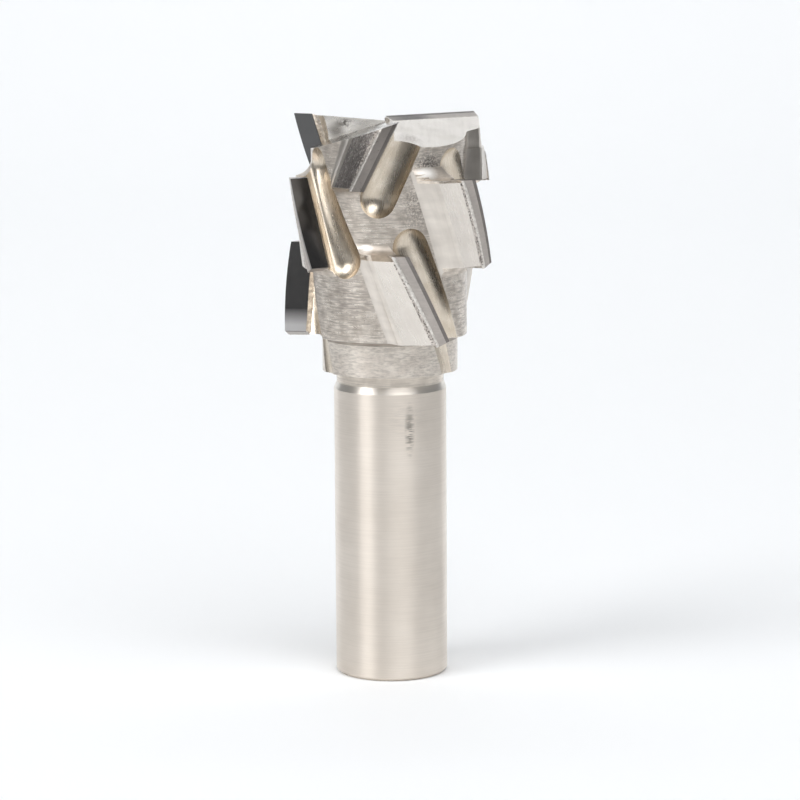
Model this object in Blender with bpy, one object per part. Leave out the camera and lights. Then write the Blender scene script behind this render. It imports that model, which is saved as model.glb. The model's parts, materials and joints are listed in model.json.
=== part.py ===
# Corn cob router bit: a straight shank, a stepped head, and staggered diamond tips on milled teeth.
#
# The tool stands on its shank end at the origin with its axis up +Z.
# Angles round the axis (azimuths) are in degrees from -Y towards +X, which is the way the tool cuts.
# Sizes are in millimetres and become metres once, when a mesh is made.

import math

import bmesh
import bpy
from mathutils import Vector

MILLIMETRE = 0.001

# Driving sizes of the turned body
SHANK_DIAMETER = 25.0
SHANK_LENGTH = 64.4
SHANK_END_CHAMFER = 0.7
NECK_DIAMETER = 23.8
NECK_LENGTH = 4.1
NECK_TAPER_HEIGHT = 1.5
COLLAR_DIAMETER = 30.0
COLLAR_LENGTH = 8.0
HEAD_LENGTH = 48.0
SHOULDER_FILLET = 1.0

# Driving sizes of the cut, the tooth height measured from the head out to the cutting circle
CUTTING_DIAMETER = 46.5
TOOTH_HEIGHT = 6.15
TEETH_PER_ROW = 3
TIP_THICKNESS = 2.4
TIP_CLEARANCE = 19.0
BRAZE_GAP = 0.3

# Driving sizes of the gullets, left by a ball-nose cutter, their depth measured in from the head
GULLET_DIAMETER = 9.6
GULLET_DEPTH = 2.6
TOOTH_TRIM = 0.12

# Driving heights of the rows: the lower from the head's bottom, the upper from the tool's end,
# and the middle from how far it reaches past the ledges of the other two
LOWER_ROW_HEIGHT = 19.5
UPPER_ROW_HEIGHT = 14.6
MIDDLE_BELOW_LOWER_TOP = 3.6
MIDDLE_ABOVE_UPPER_BOTTOM = 1.7
LOWER_EDGE_LIFT = 0.75
MIDDLE_EDGE_LIFT = 0.4
LOWER_LAND_DROP = 1.2
MIDDLE_LAND_DROP = 0.5
UPPER_LAND_LIFT = 0.5

# Driving sizes of the end
END_RELIEF = 18.6
END_DISH = 1.1
END_PLATE_HEIGHT = 8.2
END_PLATE_PAST_AXIS = 0.7
END_PLATE_AZIMUTH = 125.0
END_PLATE_LEAN = -14.0

# Land of a tooth, seen along the axis: how far below the cutting circle, and how far behind the edge
LAND_FRONT = (0.9, 2.55)
LAND_STEP = (1.59, 3.9)
LAND_BACK = (4.3, 7.8)

# Back of a tooth, seen along the axis: how far above the head, and how far behind the edge
BACK_CREST = (1.05, 8.5)
BACK_FOOT = (-2.47, 9.66)
ROOT_FILLET = 3.0
LEDGE_FILLET = 2.5
WIDE_LEDGE_FILLET = 3.6
SEAT_LIP = 0.9

# How far a cutter stands clear of what it cuts, and how far a joined solid reaches into its neighbour
CLEAR = 4.0
GRIP = 1.0
TURNED_SIDES = 96

COLLAR_BOTTOM = SHANK_LENGTH + NECK_LENGTH
HEAD_BOTTOM = COLLAR_BOTTOM + COLLAR_LENGTH
OVERALL_LENGTH = HEAD_BOTTOM + HEAD_LENGTH
CUTTING_RADIUS = CUTTING_DIAMETER / 2
HEAD_RADIUS = CUTTING_RADIUS - TOOTH_HEIGHT
GULLET_FLOOR_RADIUS = HEAD_RADIUS - GULLET_DEPTH
FAR_RADIUS = CUTTING_RADIUS + CLEAR
TIP_FALL = TIP_THICKNESS * math.tan(math.radians(TIP_CLEARANCE))
TIP_BACK_RADIUS = math.hypot(CUTTING_RADIUS - TIP_FALL, TIP_THICKNESS)
SEAT_WALL = -(TIP_THICKNESS + BRAZE_GAP)
UNDER_SEAT = GULLET_FLOOR_RADIUS - CLEAR
PITCH = 360.0 / TEETH_PER_ROW

LOWER_TOP = HEAD_BOTTOM + LOWER_ROW_HEIGHT
UPPER_BOTTOM = OVERALL_LENGTH - UPPER_ROW_HEIGHT
MIDDLE_BOTTOM = LOWER_TOP - MIDDLE_BELOW_LOWER_TOP
MIDDLE_TOP = UPPER_BOTTOM + MIDDLE_ABOVE_UPPER_BOTTOM

# Each row of teeth, with heights up the tool.
# azimuth: of the row's first tip, half way up its edge
# edge: the two ends of a tip's cutting edge
# ledge: the two ends of a tooth, where a fillet runs into the head
# land: the two ends of a tooth's outer surface, which can stop short of the ledges
# fillets: the radii below and above a tooth, 0 where it has none
# land_flare: degrees by which the land's back edge stands further behind at the bottom than at the top
# depth: of a tip, in from its edge
# lean: of an edge from upright, positive when its top trails
# gullet_lead: how far round the cutting circle the gullet in front is ahead of the edge, half way up
# gullet_helix: of the gullet from upright at the head's surface, positive when its top leads
# gullet: the heights of the centres of its two ball ends
ROWS = {
    "lower": {
        "azimuth": 22.0,
        "edge": (HEAD_BOTTOM + LOWER_EDGE_LIFT, LOWER_TOP),
        "ledge": (HEAD_BOTTOM, LOWER_TOP),
        "land": (HEAD_BOTTOM, LOWER_TOP - LOWER_LAND_DROP),
        "fillets": (0.0, LEDGE_FILLET),
        "land_flare": 4.2,
        "depth": 5.2,
        "lean": 26.4,
        "gullet_lead": 3.61,
        "gullet_helix": -23.19,
        "gullet": (COLLAR_BOTTOM - 2 * CLEAR, LOWER_TOP + 1.2),
    },
    "middle": {
        "azimuth": -56.3,
        "edge": (MIDDLE_BOTTOM + MIDDLE_EDGE_LIFT, MIDDLE_TOP),
        "ledge": (MIDDLE_BOTTOM, MIDDLE_TOP),
        "land": (MIDDLE_BOTTOM, MIDDLE_TOP - MIDDLE_LAND_DROP),
        "fillets": (LEDGE_FILLET, WIDE_LEDGE_FILLET),
        "land_flare": 0.0,
        "depth": 4.7,
        "lean": 23.8,
        "gullet_lead": 3.69,
        "gullet_helix": -25.76,
        "gullet": (MIDDLE_BOTTOM + 2.0, MIDDLE_TOP + 2.5),
    },
    "upper": {
        "azimuth": -4.4,
        "edge": (UPPER_BOTTOM, OVERALL_LENGTH),
        "ledge": (UPPER_BOTTOM, OVERALL_LENGTH + GRIP),
        "land": (UPPER_BOTTOM + UPPER_LAND_LIFT, OVERALL_LENGTH + GRIP),
        "fillets": (LEDGE_FILLET, 0.0),
        "land_flare": 0.0,
        "depth": 5.2,
        "lean": -26.6,
        "gullet_lead": 4.34,
        "gullet_helix": 24.66,
        "gullet": (UPPER_BOTTOM - 2.1, OVERALL_LENGTH + 2 * CLEAR),
    },
}

# The upper tooth under the end plate is indexed a little ahead of its place
END_TOOTH = 1
END_TOOTH_ADVANCE = 1.2


def clear_scene():
    for scene_object in list(bpy.data.objects):
        bpy.data.objects.remove(scene_object, do_unlink=True)


# Directions and places

def outward(azimuth):
    angle = math.radians(azimuth)
    return Vector((math.sin(angle), -math.cos(angle), 0.0))


def forward(azimuth):
    angle = math.radians(azimuth)
    return Vector((math.cos(angle), math.sin(angle), 0.0))


def up(height):
    return Vector((0.0, 0.0, height))


class TipFrame:
    """A tip's rake plane: w is measured in front of it, r out from the axis, s up along the edge."""

    def __init__(self, azimuth, height, lean):
        self.azimuth = azimuth
        self.height = height
        self.lean = math.radians(lean)
        self.front = forward(azimuth) * math.cos(self.lean) + up(math.sin(self.lean))
        self.along = forward(azimuth) * -math.sin(self.lean) + up(math.cos(self.lean))

    def place(self, w, r, s):
        return up(self.height) + self.front * w + outward(self.azimuth) * r + self.along * s

    def rise(self, w, height):
        """The s at which a point w in front of the plane lies at a height."""
        return (height - self.height - w * math.sin(self.lean)) / math.cos(self.lean)

    def sideways(self, w, s):
        return w * math.cos(self.lean) - s * math.sin(self.lean)

    def reach(self, w, s, radius):
        """The r at which the point (w, s) lies at a radius from the tool's axis."""
        return math.sqrt(radius ** 2 - self.sideways(w, s) ** 2)

    def edge_azimuth(self, height):
        sideways = self.sideways(0.0, self.rise(0.0, height))
        return self.azimuth + math.degrees(math.asin(sideways / CUTTING_RADIUS))


# Meshes

def mesh_object(name, points, faces):
    mesh = bpy.data.meshes.new(name)
    mesh.from_pydata([point * MILLIMETRE for point in points], [], faces)
    solid = bmesh.new()
    solid.from_mesh(mesh)
    bmesh.ops.remove_doubles(solid, verts=solid.verts, dist=0.002 * MILLIMETRE)
    bmesh.ops.triangulate(solid, faces=solid.faces)
    bmesh.ops.recalc_face_normals(solid, faces=solid.faces)
    solid.to_mesh(mesh)
    solid.free()
    scene_object = bpy.data.objects.new(name, mesh)
    bpy.context.scene.collection.objects.link(scene_object)
    return scene_object


def loft(name, rings, capped=True):
    """A closed solid through rings of equal length. Uncapped rings close on a line or a point."""
    count = len(rings[0])
    points = [point for ring in rings for point in ring]
    faces = []
    for low in range(0, len(points) - count, count):
        for i in range(count):
            j = (i + 1) % count
            faces.append((low + i, low + j, low + count + j, low + count + i))
    if capped:
        faces.append(tuple(reversed(range(count))))
        faces.append(tuple(range(len(points) - count, len(points))))
    return mesh_object(name, points, faces)


def combine(target, tool, operation):
    """Cuts target with tool, or joins them, and removes the tool."""
    modifier = target.modifiers.new(operation, "BOOLEAN")
    modifier.operation = operation
    modifier.solver = "EXACT"
    modifier.object = tool
    bpy.context.view_layer.update()
    evaluated = target.evaluated_get(bpy.context.evaluated_depsgraph_get())
    result = bpy.data.meshes.new_from_object(evaluated)
    target.modifiers.remove(modifier)
    target.data = result
    bpy.data.objects.remove(tool, do_unlink=True)


def arc(centre, radius, start, end, steps):
    """Points in a plane along an arc, its angles in degrees."""
    points = []
    for i in range(steps + 1):
        angle = math.radians(start + (end - start) * i / steps)
        points.append((centre[0] + radius * math.cos(angle), centre[1] + radius * math.sin(angle)))
    return points


# The turned blank

def turned_blank():
    shank = SHANK_DIAMETER / 2
    neck = NECK_DIAMETER / 2
    collar = COLLAR_DIAMETER / 2
    fillet_centre = (collar + SHOULDER_FILLET, HEAD_BOTTOM - SHOULDER_FILLET)
    profile = [(shank - SHANK_END_CHAMFER, 0.0), (shank, SHANK_END_CHAMFER)]
    profile += [(shank, SHANK_LENGTH), (neck, SHANK_LENGTH + NECK_TAPER_HEIGHT)]
    profile += [(neck, COLLAR_BOTTOM), (collar, COLLAR_BOTTOM)]
    profile += arc(fillet_centre, SHOULDER_FILLET, 180, 90, 4)
    profile += [(HEAD_RADIUS, HEAD_BOTTOM), (HEAD_RADIUS, OVERALL_LENGTH + GRIP / 2)]
    directions = [outward(360.0 * i / TURNED_SIDES) for i in range(TURNED_SIDES)]
    rings = [[direction * radius + up(height) for direction in directions] for radius, height in profile]
    return loft("body", rings)


# Gullets

def mid_height(row):
    return sum(row["edge"]) / 2


def gullet_path(row):
    """Round the slot once, as (height of the cutter, direction in degrees from the cutter's middle)."""
    half_turn = 12
    stretches = 10
    bottom, top = row["gullet"]
    lean = row["gullet_helix"]
    path = [(top, 180.0 * i / half_turn - lean) for i in range(half_turn + 1)]
    path += [(top + (bottom - top) * i / stretches, 180.0 - lean) for i in range(1, stretches)]
    path += [(bottom, 180.0 + 180.0 * i / half_turn - lean) for i in range(half_turn + 1)]
    path += [(bottom + (top - bottom) * i / stretches, -lean) for i in range(1, stretches)]
    return path


def gullet_cutter(row, index, extra=0.0):
    """All that a ball-nose cutter sweeps as it climbs and turns round the axis."""
    start = row["azimuth"] + math.degrees(row["gullet_lead"] / CUTTING_RADIUS) + PITCH * index
    twist = math.degrees(math.tan(math.radians(row["gullet_helix"])) / HEAD_RADIUS)
    centre_radius = GULLET_FLOOR_RADIUS + GULLET_DIAMETER / 2
    ball = GULLET_DIAMETER / 2 + extra
    sizes = []
    for degrees in (0, 18, 36, 54, 72, 90):
        angle = math.radians(degrees)
        sizes.append((ball * math.sin(angle), centre_radius - ball * math.cos(angle)))
    sizes += [(ball, FAR_RADIUS), (0.0, FAR_RADIUS + GRIP)]
    middle = mid_height(row)
    rings = []
    for width, depth in sizes:
        ring = []
        for height, direction in gullet_path(row):
            turned_to = start + twist * (height - middle)
            across = width * math.cos(math.radians(direction))
            rise = width * math.sin(math.radians(direction))
            ring.append(outward(turned_to) * depth + forward(turned_to) * across + up(height + rise))
        rings.append(ring)
    return loft("gullet cutter", rings, capped=False)


# Teeth

def polar(outline):
    """Points at (out, behind) as (radius, degrees behind)."""
    return [(math.hypot(out, behind), math.degrees(math.atan2(behind, out))) for out, behind in outline]


def tooth_section(flare):
    """A tooth's outline as (radius, degrees behind the edge), from its front round to its root."""
    land = [(CUTTING_RADIUS - drop, behind) for drop, behind in (LAND_FRONT, LAND_STEP, LAND_BACK)]
    crest, foot = [Vector((HEAD_RADIUS + above, behind)) for above, behind in (BACK_CREST, BACK_FOOT)]
    back = (foot - crest).normalized()
    off_back = Vector((back.y, -back.x))
    centre = foot + off_back * ROOT_FILLET
    start = math.degrees(math.atan2(-off_back.y, -off_back.x))
    end = math.degrees(math.atan2(-centre.y, -centre.x))
    root = arc(centre, ROOT_FILLET, start, end, 4)
    inside = Vector(root[-1]) * ((HEAD_RADIUS - GRIP) / HEAD_RADIUS)
    core = GULLET_FLOOR_RADIUS - 2 * GRIP
    front = -TIP_THICKNESS
    before = polar([(core, front), (CUTTING_RADIUS, front)] + land[:-1])
    crests = [(radius, behind + flare) for radius, behind in polar([land[-1], tuple(crest)])]
    return before + crests + polar(root[:-1] + [tuple(inside), (core, 2 * TIP_THICKNESS)])


def fillet_levels(fillet):
    """Up a fillet from a ledge into the head, as (distance from the ledge, radius it reaches)."""
    levels = []
    for degrees in (0, 13, 26, 39, 52, 65, 78):
        angle = math.radians(degrees)
        levels.append((fillet * (1.0 - math.cos(angle)), HEAD_RADIUS + fillet * (1.0 - math.sin(angle))))
    return levels + [(fillet, HEAD_RADIUS - GRIP)]


def tooth(frame, land, ledge, land_flare=0.0, fillets=(0.0, 0.0)):
    """A tooth that turns with its edge, with a fillet from each ledge into the head."""
    steps = 8
    bottom, top = land
    below, above = fillets
    levels = [(bottom + (top - bottom) * i / steps, FAR_RADIUS) for i in range(steps + 1)]
    if below:
        levels = [(ledge[0] - drop, limit) for drop, limit in reversed(fillet_levels(below))] + levels
    if above:
        levels = levels + [(ledge[1] + rise, limit) for rise, limit in fillet_levels(above)]
    rings = []
    for height, limit in levels:
        edge = frame.edge_azimuth(height)
        share = min(max((top - height) / (top - bottom), 0.0), 1.0)
        section = tooth_section(land_flare * share)
        ring = [outward(edge - behind) * min(radius, limit) for radius, behind in section]
        rings.append([point + up(height) for point in ring])
    return loft("tooth", rings)


def front_cutter(frame, outline):
    """What is milled off in front of a tooth: an outline in (w, r) run along the edge's direction."""
    rings = [[frame.place(w, r, s) for w, r in outline] for s in (-FAR_RADIUS, FAR_RADIUS)]
    return loft("front cutter", rings)


def seat_outline(depth):
    """The seat's wall, the floor under the tip, and the gullet side below the floor."""
    floor = CUTTING_RADIUS - depth - BRAZE_GAP
    return ((SEAT_WALL, FAR_RADIUS), (SEAT_WALL, floor), (-SEAT_LIP, floor), (-SEAT_LIP, UNDER_SEAT),
            (GULLET_DIAMETER, UNDER_SEAT), (GULLET_DIAMETER, FAR_RADIUS))


def wall_outline():
    """A wall with no floor, for the end plate that reaches the axis."""
    return ((SEAT_WALL, FAR_RADIUS), (SEAT_WALL, UNDER_SEAT), (GULLET_DIAMETER, UNDER_SEAT),
            (GULLET_DIAMETER, FAR_RADIUS))


def tip_frame(name, index):
    row = ROWS[name]
    azimuth = row["azimuth"] + PITCH * index
    if name == "upper" and index == END_TOOTH:
        azimuth += END_TOOTH_ADVANCE
    return TipFrame(azimuth, mid_height(row), row["lean"])


def end_plate_frame():
    return TipFrame(END_PLATE_AZIMUTH, OVERALL_LENGTH, END_PLATE_LEAN)


def add_teeth(body):
    """Each tooth is trimmed a little wider than the other rows' gullets before it joins the body."""
    above_plate_bottom = OVERALL_LENGTH - END_PLATE_HEIGHT + GRIP
    for name, row in ROWS.items():
        others = [other for other in ROWS if other != name]
        for index in range(TEETH_PER_ROW):
            frame = tip_frame(name, index)
            land = row["land"]
            if name == "upper" and index == END_TOOTH:
                land = (land[0], above_plate_bottom)
            solid = tooth(frame, land, row["ledge"], row["land_flare"], row["fillets"])
            combine(solid, front_cutter(frame, seat_outline(row["depth"])), "DIFFERENCE")
            for other in others:
                for place in range(TEETH_PER_ROW):
                    combine(solid, gullet_cutter(ROWS[other], place, TOOTH_TRIM), "DIFFERENCE")
            combine(body, solid, "UNION")
    frame = end_plate_frame()
    heights = (OVERALL_LENGTH - END_PLATE_HEIGHT - BRAZE_GAP / 2, OVERALL_LENGTH + GRIP)
    solid = tooth(frame, heights, heights)
    combine(solid, front_cutter(frame, wall_outline()), "DIFFERENCE")
    combine(body, solid, "UNION")


# The end of the tool

def end_edges():
    """The azimuth of each end edge and its dish: how much lower it is at the axis than at the rim."""
    first = tip_frame("upper", 0).edge_azimuth(OVERALL_LENGTH)
    last = tip_frame("upper", 2).edge_azimuth(OVERALL_LENGTH)
    return ((first, END_DISH), (END_PLATE_AZIMUTH, 0.0), (last, END_DISH))


def relief_cutter(azimuth, dish, corners):
    """All above the plane that falls away behind an end edge, over corners at (along, behind) it."""
    slope = math.tan(math.radians(END_RELIEF))
    roof_height = OVERALL_LENGTH + CLEAR + GRIP
    floor = []
    roof = []
    for along, behind in corners:
        height = OVERALL_LENGTH - dish + dish * along / CUTTING_RADIUS - slope * behind
        corner = outward(azimuth) * along - forward(azimuth) * behind
        floor.append(corner + up(height))
        roof.append(corner + up(roof_height))
    return loft("relief cutter", [floor, roof])


def sector(ahead, behind):
    """Corners of a sector round the axis, from some degrees ahead of an edge to some behind it."""
    steps = 6
    corners = [(0.0, 0.0)]
    for i in range(steps + 1):
        angle = math.radians(-ahead + (behind + ahead) * i / steps)
        corners.append((FAR_RADIUS * math.cos(angle), FAR_RADIUS * math.sin(angle)))
    return corners


def strip():
    """Corners of a strip along an edge, wider than a tip is thick."""
    far = FAR_RADIUS
    half = 2 * TIP_THICKNESS
    return [(-far, -half), (far, -half), (far, half), (-far, half)]


def slab_cutter(frame, front_and_back, inner_and_outer, heights):
    """A slab along a tip's plane, its ends level."""
    w_front, w_back = front_and_back
    r_inner, r_outer = inner_and_outer
    rings = []
    for height in heights:
        corners = ((w_back, r_inner), (w_front, r_inner), (w_front, r_outer), (w_back, r_outer))
        rings.append([frame.place(w, r, frame.rise(w, height)) for w, r in corners])
    return loft("slab cutter", rings)


def cut_end(body):
    overlap = 1.5
    plate = end_plate_frame()
    edges = end_edges()
    for i, (azimuth, dish) in enumerate(edges):
        following = edges[i - 1][0]
        behind = (azimuth - following) % 360.0
        if following == END_PLATE_AZIMUTH:
            cutter = relief_cutter(azimuth, dish, sector(overlap, behind + 4 * overlap))
            depths = (OVERALL_LENGTH - FAR_RADIUS, OVERALL_LENGTH)
            keeper = slab_cutter(plate, (0.0, -FAR_RADIUS), (-FAR_RADIUS, 2 * FAR_RADIUS), depths)
            combine(cutter, keeper, "DIFFERENCE")
        else:
            cutter = relief_cutter(azimuth, dish, sector(overlap, behind))
        combine(body, cutter, "DIFFERENCE")
    inner = -(END_PLATE_PAST_AXIS + BRAZE_GAP)
    depths = (OVERALL_LENGTH - END_PLATE_HEIGHT - BRAZE_GAP, OVERALL_LENGTH + CLEAR)
    seat = slab_cutter(plate, (BRAZE_GAP, SEAT_WALL), (inner, FAR_RADIUS), depths)
    combine(body, seat, "DIFFERENCE")


# Tips

def tip(name, frame, edge_heights, inner, square_bottom=False):
    """A planar tip whose outer face falls away behind an edge that lies on the cutting circle."""
    steps = 8
    bottom, top = edge_heights
    edge_low = frame.rise(0.0, bottom)
    edge_high = frame.rise(0.0, top)
    back_low = edge_low if square_bottom else frame.rise(-TIP_THICKNESS, bottom)
    back_high = frame.rise(-TIP_THICKNESS, top)
    rings = []
    for i in range(steps + 1):
        s = edge_low + (edge_high - edge_low) * i / steps
        s_back = back_low + (back_high - back_low) * i / steps
        edge = frame.reach(0.0, s, CUTTING_RADIUS)
        back = frame.reach(-TIP_THICKNESS, s_back, TIP_BACK_RADIUS)
        front_side = [frame.place(0.0, r, s) for r in (inner, edge)]
        back_side = [frame.place(-TIP_THICKNESS, r, s_back) for r in (back, inner)]
        rings.append(front_side + back_side)
    return loft(name, rings)


def make_tips():
    tips = []
    reliefs = end_edges()
    plate_bottom = OVERALL_LENGTH - END_PLATE_HEIGHT
    for name, row in ROWS.items():
        inner = CUTTING_RADIUS - row["depth"]
        bottom, top = row["edge"]
        for index in range(TEETH_PER_ROW):
            frame = tip_frame(name, index)
            label = f"tip_{name}_{index + 1}"
            if name != "upper":
                piece = tip(label, frame, (bottom, top), inner, square_bottom=True)
            elif index == END_TOOTH:
                piece = tip(label, frame, (bottom, plate_bottom - BRAZE_GAP), inner)
            else:
                azimuth, dish = reliefs[index]
                piece = tip(label, frame, (bottom, top + GRIP), inner)
                combine(piece, relief_cutter(azimuth, dish, strip()), "DIFFERENCE")
            tips.append(piece)
    azimuth, dish = reliefs[END_TOOTH]
    plate_heights = (plate_bottom, OVERALL_LENGTH + GRIP)
    plate = tip("tip_end", end_plate_frame(), plate_heights, -END_PLATE_PAST_AXIS)
    combine(plate, relief_cutter(azimuth, dish, strip()), "DIFFERENCE")
    tips.append(plate)
    return tips


# Finish

def material(name, colour, metallic, roughness):
    made = bpy.data.materials.new(name)
    made.use_nodes = True
    shader = made.node_tree.nodes["Principled BSDF"]
    shader.inputs["Base Color"].default_value = (*colour, 1.0)
    shader.inputs["Metallic"].default_value = metallic
    shader.inputs["Roughness"].default_value = roughness
    return made


def finish(scene_object, surface):
    scene_object.data.materials.clear()
    scene_object.data.materials.append(surface)
    scene_object.data.shade_smooth()
    scene_object.data.set_sharp_from_angle(angle=math.radians(25.0))


def build():
    clear_scene()
    body = turned_blank()
    for row in ROWS.values():
        for index in range(TEETH_PER_ROW):
            combine(body, gullet_cutter(row, index), "DIFFERENCE")
    add_teeth(body)
    cut_end(body)
    finish(body, material("nickel-bright steel", (0.60, 0.56, 0.50), 1.0, 0.28))
    tip_surface = material("diamond on carbide", (0.16, 0.15, 0.145), 0.75, 0.32)
    for piece in make_tips():
        finish(piece, tip_surface)


build()
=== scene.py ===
import json
import math
import bmesh
import bpy
import numpy as np
from mathutils import Matrix, Vector

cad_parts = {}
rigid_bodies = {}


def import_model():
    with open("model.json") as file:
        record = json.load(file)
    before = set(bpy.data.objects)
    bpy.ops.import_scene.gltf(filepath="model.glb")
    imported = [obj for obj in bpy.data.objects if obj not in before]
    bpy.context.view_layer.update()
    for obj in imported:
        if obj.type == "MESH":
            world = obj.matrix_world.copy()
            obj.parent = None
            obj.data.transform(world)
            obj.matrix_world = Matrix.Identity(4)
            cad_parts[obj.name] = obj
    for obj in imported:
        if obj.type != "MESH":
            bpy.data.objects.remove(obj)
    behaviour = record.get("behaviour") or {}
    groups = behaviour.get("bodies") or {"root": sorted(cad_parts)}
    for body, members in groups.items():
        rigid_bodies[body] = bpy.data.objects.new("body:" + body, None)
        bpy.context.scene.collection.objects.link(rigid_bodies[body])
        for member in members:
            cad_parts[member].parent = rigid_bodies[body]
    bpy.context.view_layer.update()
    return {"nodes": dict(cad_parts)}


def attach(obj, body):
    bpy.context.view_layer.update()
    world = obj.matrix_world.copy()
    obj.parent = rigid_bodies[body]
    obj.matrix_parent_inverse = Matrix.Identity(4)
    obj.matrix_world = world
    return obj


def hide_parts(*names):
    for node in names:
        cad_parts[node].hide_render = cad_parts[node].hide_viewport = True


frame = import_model()
mm = 0.001

# Sizes of the tool in mm, heights from the shank's end, azimuths in degrees from -Y towards +X
tool = {
    "shankRadius": 12.5, "shankTop": 64.4, "endChamfer": 0.7, "neckRadius": 11.9, "neckTaper": 1.5,
    "collarRadius": 15.0, "collarBottom": 68.5, "shoulderFillet": 1.0,
    "headRadius": 17.1, "headBottom": 76.5, "top": 124.5, "cutRadius": 23.25, "pitch": 120.0,
    "gulletBall": 4.8, "gulletFloor": 14.5, "rootFillet": 3.0, "seatLip": 0.9, "tipGap": 0.3}
# Each row of teeth: (low, high) heights of edge, ledge, land and gullet, depth of the tip, lead of
# the gullet before the edge and its twist per mm, fillets (below, above), flare of the land, and
# how uneven the bead of braze is
rows = {
    "lower": {"azimuth": 22.0, "lean": 26.4, "edge": (77.25, 96.0), "ledge": (76.5, 96.0),
              "land": (76.5, 94.8), "depth": 5.2, "gullet": (60.5, 97.2), "lead": 8.9,
              "twist": -1.435, "fillets": (0.0, 2.5), "flare": 4.2, "bead": 0.06},
    "middle": {"azimuth": -56.3, "lean": 23.8, "edge": (92.8, 111.6), "ledge": (92.4, 111.6),
               "land": (92.4, 111.1), "depth": 4.7, "gullet": (94.4, 114.1), "lead": 9.1,
               "twist": -1.617, "fillets": (2.5, 3.6), "flare": 0.0, "bead": 0.025},
    "upper": {"azimuth": -4.4, "lean": -26.6, "edge": (109.9, 124.5), "ledge": (109.9, 125.5),
              "land": (110.4, 125.5), "depth": 5.2, "gullet": (107.8, 132.5), "lead": 10.7,
              "twist": 1.538, "fillets": (2.5, 0.0), "flare": 0.0, "bead": 0.06},
}
shortTooth = ("upper", 1)    # it stands under the end plate, turned on by this many degrees
shortToothTurn = 1.2
endPlate = {"azimuth": 125.0, "lean": -14.0, "height": 8.2, "pastAxis": 0.7, "wall": -115.4,
            "relief": 18.6, "dish": 1.1, "below": 0.2, "above": 1.0, "bead": 0.06}
# A tooth's outline from its edge back: (distance from the axis, distance behind the edge)
toothSection = {"landFront": (22.35, 2.55), "landStep": (21.66, 3.9), "landBack": (18.95, 7.8),
                "crest": (18.15, 8.5), "foot": (14.63, 9.66)}
tipsPerRow = 3
tipSizes = {"thickness": 2.4, "diamond": 0.75, "clearance": 19.0, "steps": 24}
tipFall = tipSizes["thickness"] * math.tan(math.radians(tipSizes["clearance"]))
tipBackRadius = math.hypot(tool["cutRadius"] - tipFall, tipSizes["thickness"])
brazeLine = (tool["cutRadius"], -tipSizes["thickness"])


def outward(degrees):
    a = np.radians(degrees)
    return np.stack([np.sin(a), -np.cos(a), np.zeros_like(a)], -1)


def forward(degrees):
    a = np.radians(degrees)
    return np.stack([np.cos(a), np.sin(a), np.zeros_like(a)], -1)


def dot(a, b):
    return np.sum(a * b, -1)


def unit(a):
    return a / np.maximum(np.linalg.norm(a, axis=-1, keepdims=True), 1e-12)


up = np.array([0.0, 0.0, 1.0])


def addObject(name, data):
    thing = bpy.data.objects.new(name, data)
    bpy.context.scene.collection.objects.link(thing)
    return thing


# Materials. The groups give marks, painted rim highlights and patches as values, and each finish
# has its own metal.
def wire(start, end):
    start.id_data.links.new(start, end)


def addNode(tree, kind, x, y, inputs=None, **values):
    node = tree.nodes.new(kind)
    node.location = (x, y)
    for name, value in values.items():
        setattr(node, name, value)
    for name, value in (inputs or {}).items():
        node.inputs[name].default_value = value
    return node


def newGroup(name, inputs, outputs):
    group = bpy.data.node_groups.new(name, "ShaderNodeTree")
    for label, kind, value in inputs:
        kind = "NodeSocket" + kind
        socket = group.interface.new_socket(label, in_out="INPUT", socket_type=kind)
        socket.default_value = value
    for label in outputs:
        group.interface.new_socket(label, in_out="OUTPUT", socket_type="NodeSocketFloat")
    source = addNode(group, "NodeGroupInput", -900, 0)
    target = addNode(group, "NodeGroupOutput", 600, 0)
    return group, source, target


def addNoise(tree, x, y, detail, roughness, scale=1.0):
    return addNode(tree, "ShaderNodeTexNoise", x, y,
                   {"Scale": scale, "Detail": detail, "Roughness": roughness})


def addRange(tree, x, y, low, high, toLow=0.0, toHigh=1.0):
    return addNode(tree, "ShaderNodeMapRange", x, y,
                   {"From Min": low, "From Max": high, "To Min": toLow, "To Max": toHigh})


def makeMarksGroup():
    # Noise stretched one way for cutter marks, and broad soft blotches
    group, source, target = newGroup(
        "cutter marks",
        [("Place", "Vector", (0.0, 0.0, 0.0)),
         ("Stretch", "Vector", (1.0, 1.0, 1.0)),
         ("Blotch Scale", "Float", 120.0)],
        ("Lines", "Blotches"))
    stretch = addNode(group, "ShaderNodeVectorMath", -650, 50, operation="MULTIPLY")
    lines = addNoise(group, -400, 50, 4.0, 0.6)
    blotches = addNoise(group, -400, -250, 3.0, 0.55)
    wire(source.outputs["Place"], stretch.inputs[0])
    wire(source.outputs["Stretch"], stretch.inputs[1])
    wire(stretch.outputs[0], lines.inputs["Vector"])
    wire(source.outputs["Place"], blotches.inputs["Vector"])
    wire(source.outputs["Blotch Scale"], blotches.inputs["Scale"])
    wire(lines.outputs["Fac"], target.inputs["Lines"])
    wire(blotches.outputs["Fac"], target.inputs["Blotches"])
    return group


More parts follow.
